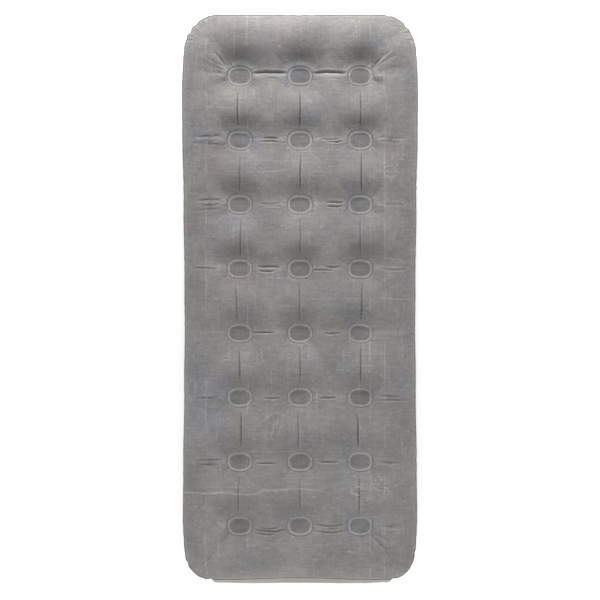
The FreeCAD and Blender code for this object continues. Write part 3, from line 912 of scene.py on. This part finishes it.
def finish(tree, shader, colour, value, height, distance, strength, settings):
    """Joins a colour, its brightness and a bump height to a shader, and sets its other inputs."""
    shaded = add(tree, "HueSaturation", {"Value": value, "Color": colour})
    tree.links.new(shaded.outputs[0], shader.inputs["Base Color"])
    bump = add(tree, "Bump", {"Height": height, "Strength": strength, "Distance": distance})
    tree.links.new(bump.outputs[0], shader.inputs["Normal"])
    for name, setting in settings.items():
        shader.inputs[name].default_value = setting


def flock():
    """Grey velvety flock: mottled, with pressed marks, pale scuffs and faint packing folds."""
    material, tree, shader, at = new_material("flock")
    cool = spread(tree, noise(tree, at, 5, 2), 0.44, 0.64, 0, 0.7)
    warm = spread(tree, noise(tree, stretched(tree, at, (1, 0.7, 3)), 7, 2), 0.5, 0.68, 0, 0.7)
    green = spread(tree, noise(tree, stretched(tree, at, (2, 1, 1)), 4, 1), 0.47, 0.66, 0, 0.85)
    place = add(tree, "SeparateXYZ", {0: at}).outputs["Y"]
    foot = spread(tree, place, -HALF_LENGTH, -HALF_LENGTH + 110 * MM, 1, 0)
    green = maths(tree, "MAXIMUM", green, foot)
    colour = FLOCK
    for share, tint in ((cool, FLOCK_COOL), (warm, FLOCK_WARM), (green, FLOCK_GREEN)):
        colour = add(tree, "Mix", {0: share, 6: colour, 7: tint}, data_type="RGBA").outputs[2]
    cloud = varied(tree, at, 0.1, 8, 5, 0.6)
    brushed = varied(tree, stretched(tree, at, (1, 2.2, 1)), 0.09, 38, 4, 0.65, 0.6)
    across = varied(tree, stretched(tree, at, (1, 28, 1)), 0.06, 13, 3, 0.6)
    down = varied(tree, stretched(tree, at, (28, 1, 1)), 0.06, 15, 3, 0.6)
    grain = varied(tree, at, 0.17, 520, 2, 0.7)
    crinkle = crinkles(tree, at, 15)
    # the flock's marks, with painted shade and highlights
    light = marks_and_painted_light(tree, at, crinkle)
    value = product(tree, cloud, brushed, across, down, grain, maths(tree, "ADD", light, 1.0))
    pile_and_shade = product(tree, noise(tree, at, 1300, 2, 0.6), 0.5)
    crumple = product(tree, noise(tree, at, 150, 3), 0.9)
    height = maths(tree, "ADD", pile_and_shade, crumple, product(tree, crinkle, 0.6))
    velvet = {"Roughness": 0.95, "Specular IOR Level": 0.15, "Sheen Weight": 0.4, "Sheen Roughness": 0.45}
    finish(tree, shader, colour, value, height, 0.7 * MM, 0.8, velvet)
    return material


def marks_and_painted_light(tree, at, crinkle):
    """What makes the flock paler or darker in places: scuffs both ways, old folds, welds, painted shade in
    the creases and round the dimples, and painted highlights beside them.
    """
    across = maths(tree, "ABSOLUTE", add(tree, "SeparateXYZ", {0: at}).outputs["X"], 0.0)
    side = spread(tree, across, HALF_WIDTH - 150 * MM, HALF_WIDTH - 60 * MM, 0, 0.9)
    bare = maths(tree, "MAXIMUM", side, spread(tree, noise(tree, at, 9, 3), 0.44, 0.6, 0, 1))
    flecks = noise(tree, stretched(tree, at, (0.35, 1, 1)), 240, 3, 0.6, 0.8)
    scuffs = product(tree, spread(tree, flecks, 0.58, 0.7, 0, 0.5), bare)
    worn = spread(tree, noise(tree, at, 7, 2), 0.46, 0.6, 0, 1)
    strokes = noise(tree, stretched(tree, at, (1, 0.28, 1)), 210, 3, 0.6, 0.8)
    scuffs_down = product(tree, spread(tree, strokes, 0.6, 0.72, 0, 0.4), worn)
    rubbed = maths(tree, "ADD", rubbed_lines(tree, at, "X", 21.0), rubbed_lines(tree, at, "Y", 9.0))
    rubbed = product(tree, rubbed, 0.19)
    packed = product(tree, packing_folds(tree, at), 0.22)
    crinkle = product(tree, crinkle, 0.1)
    # painted shade and highlights from the mesh, with the pale welds
    welds_and_painted_light = add(tree, "Attribute", {}, attribute_name="pile_and_shade").outputs["Fac"]
    marks = (scuffs, scuffs_down, crinkle, packed, rubbed, foot_line(tree, at), crumples(tree, at), welds_and_painted_light)
    return maths(tree, "ADD", *marks)


def rubbed_lines(tree, at, axis, scale):
    """Pale broken lines along or across the bed, unevenly spaced, about this many to the metre: 0 to 1."""
    place = add(tree, "SeparateXYZ", {0: at}).outputs[axis]
    wander = spread(tree, noise(tree, at, 6, 3), 0.2, 0.8, -6 * MM, 6 * MM)
    values = {"W": maths(tree, "ADD", place, wander), "Scale": scale}
    away = add(tree, "TexVoronoi", values, voronoi_dimensions="1D").outputs[0]
    line = spread(tree, away, 0.6 * MM * scale, 2.4 * MM * scale, 1, 0)
    along = (1, 0.22, 1) if axis == "X" else (0.22, 1, 1)
    broken = spread(tree, noise(tree, stretched(tree, at, along), 34, 3, 0.6), 0.54, 0.62, 0, 1)
    return product(tree, line, broken)


def crinkles(tree, at, scale):
    """Thin broken lines where the sheet was once crumpled: 0 to 1."""
    sway = add(tree, "TexNoise", {"Vector": at, "Scale": 22.0}).outputs[1]
    by = (0.06, 0.06, 0.06)
    moved = add(tree, "VectorMath", {0: sway, 1: by, 2: at}, operation="MULTIPLY_ADD").outputs[0]
    values = {"Vector": moved, "Scale": float(scale)}
    away = add(tree, "TexVoronoi", values, feature="DISTANCE_TO_EDGE").outputs[0]
    line = spread(tree, away, 0.0, 0.04, 1, 0)
    return product(tree, line, spread(tree, noise(tree, at, 11, 2), 0.48, 0.6, 0, 1))


def foot_line(tree, at):
    """A wavy pale fold across the bed, above the foot's row, from the left side to past the middle."""
    parts = add(tree, "SeparateXYZ", {0: at})
    wander = spread(tree, noise(tree, stretched(tree, at, (1, 0.1, 1)), 5, 3), 0.25, 0.75, -14 * MM, 14 * MM)
    place = maths(tree, "ADD", parts.outputs["Y"], wander)
    thick = spread(tree, noise(tree, at, 14, 2), 0.35, 0.65, 2.5 * MM, 7 * MM)
    line = spread(tree, maths(tree, "DIVIDE", from_line(tree, place, FOOT_FOLD), thick), 0.2, 1, 0.34, 0)
    return product(tree, line, spread(tree, parts.outputs["X"], 0.02, 0.15, 1, 0))


def crumples(tree, at):
    """Patches where the sheet was once crumpled small: short pale strokes that cross."""
    strokes = 0.0
    for degrees in (12, 64, 118):
        values = {"Vector": at, "Angle": math.radians(degrees)}
        turned = add(tree, "VectorRotate", values, rotation_type="Z_AXIS").outputs[0]
        streak = noise(tree, stretched(tree, turned, (1, 0.13, 1)), 130, 2, 0.5, 0.4)
        strokes = maths(tree, "MAXIMUM", strokes, spread(tree, streak, 0.6, 0.69, 0, 0.45))
    patch = 0.0
    for x, y, reach in CRUMPLES:
        away = add(tree, "VectorMath", {0: at, 1: (x, y, HEIGHT)}, operation="DISTANCE").outputs[1]
        patch = maths(tree, "MAXIMUM", patch, spread(tree, away, 0.4 * reach, reach, 1, 0))
    return product(tree, strokes, patch)


def packing_folds(tree, at):
    """Faint pale lines along and across the bed where it was folded in its box: 0 to 1."""
    parts = add(tree, "SeparateXYZ", {0: at})
    wander = spread(tree, noise(tree, at, 9, 3), 0.2, 0.8, -4 * MM, 4 * MM)
    broken = spread(tree, noise(tree, at, 13, 3), 0.46, 0.58, 0, 1)
    total = 0.0
    for axis, places in (("X", LONG_FOLDS), ("Y", CROSS_FOLDS)):
        place = maths(tree, "ADD", parts.outputs[axis], wander)
        for line in places:
            mark = spread(tree, from_line(tree, place, line), 0.8 * MM, 3.4 * MM, 1, 0)
            total = maths(tree, "MAXIMUM", total, mark)
    return product(tree, total, broken)


def vinyl(name, colour, roughness, emboss):
    """Soft plastic film with a fine pressed grain."""
    material, tree, shader, at = new_material(name)
    cloud = varied(tree, at, 0.07, 9, 4)
    fine = varied(tree, at, 0.05, 260, 3)
    grain = add(tree, "TexVoronoi", {"Vector": at, "Scale": emboss}, feature="SMOOTH_F1").outputs[0]
    height = maths(tree, "ADD", product(tree, grain, 0.5), product(tree, noise(tree, at, 60, 3), 0.8))
    shine = {"Roughness": roughness, "Specular IOR Level": 0.4}
    finish(tree, shader, colour, product(tree, cloud, fine), height, 0.35 * MM, 0.6, shine)
    return material


def plastic(name, colour, roughness):
    """Moulded plastic with a faint matt texture."""
    material, tree, shader, at = new_material(name)
    cloud = varied(tree, at, 0.05, 60, 3)
    finish(tree, shader, colour, cloud, noise(tree, at, 2500, 2), 0.06 * MM, 0.5, {})
    worn = spread(tree, noise(tree, at, 130, 4), 0.3, 0.7, roughness - 0.06, roughness + 0.08)
    tree.links.new(worn, shader.inputs["Roughness"])
    return material


def materials():
    """Every finish of the part, by the name of its slot."""
    made = {"flock": flock()}
    made.update((name, vinyl(name, *values)) for name, values in VINYLS.items())
    made.update((name, plastic(name, *values)) for name, values in PLASTICS.items())
    return made


def painted(piece, material):
    """Gives a piece one material in place of any it had."""
    piece.data.materials.clear()
    piece.data.materials.append(material)


# ======== the room

def area_light(name, place, target, size, power):
    """A rectangular light at a place, turned to face its target."""
    light = bpy.data.lights.new(name, "AREA")
    light.shape = "RECTANGLE"
    light.size, light.size_y = size
    light.energy = power
    made = bpy.data.objects.new(name, light)
    made.location = place
    made.rotation_euler = (Vector(target) - Vector(place)).to_track_quat("-Z", "Y").to_euler()
    bpy.context.scene.collection.objects.link(made)


def room():
    """A pale floor, low light from beyond the head, fills from the foot and above, and the camera above."""
    corners = [(x * FLOOR_HALF, y * FLOOR_HALF, FLOOR_LEVEL) for x, y in ((-1, -1), (1, -1), (1, 1), (-1, 1))]
    floor = mesh_object("floor", np.array(corners), [[0, 1, 2, 3]])
    material, tree, shader, at = new_material("floor")
    value = varied(tree, at, 0.01, 1.5, 2)
    glow = {"Roughness": 0.9, "Emission Color": (1, 1, 1, 1), "Emission Strength": 0.3}
    finish(tree, shader, (0.93, 0.93, 0.93, 1), value, noise(tree, at, 40, 2), 0.1 * MM, 0.1, glow)
    painted(floor, material)
    for light in LIGHTS:
        area_light(*light)
    scene = bpy.context.scene
    scene.world = bpy.data.worlds.new("room")
    scene.world.use_nodes = True
    background = scene.world.node_tree.nodes["Background"].inputs
    background["Color"].default_value = (1, 1, 1, 1)
    background["Strength"].default_value = AMBIENT
    camera = bpy.data.cameras.new("camera")
    camera.angle = math.radians(CAMERA_ANGLE)
    above = bpy.data.objects.new("camera", camera)
    above.location = CAMERA_AT
    scene.collection.objects.link(above)
    scene.camera = above
    scene.view_settings.view_transform = "Standard"


def main():
    """Inflates the quilt, makes every piece, ties the three skins to the mattress's body, then lights the
    room.
    """
    parts = quilt()
    shape = drawn_in(parts, inflated(parts))
    sheet = settled(parts, shape)
    finishes = materials()
    finish_of = {name: slot for slot, names in CAD_FINISHES.items() for name in names}
    for name, node in frame["nodes"].items():
        painted(node, finishes[finish_of.get(name, "coil_vinyl")])
    for piece, node, finish_name in (
        (top_skin(parts, sheet), "top_sheet", "flock"),
        (wall_skin(parts, shape), "side_wall", "wall_vinyl"),
        (bottom_skin(parts, sheet, shape), "bottom_sheet", "base_vinyl"),
    ):
        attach(piece, "mattress")
        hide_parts(node)
        painted(piece, finishes[finish_name])
    tether = strap()
    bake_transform(tether)
    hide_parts("tether_strap")
    painted(tether, finishes["cap_plastic"])
    room()


main()
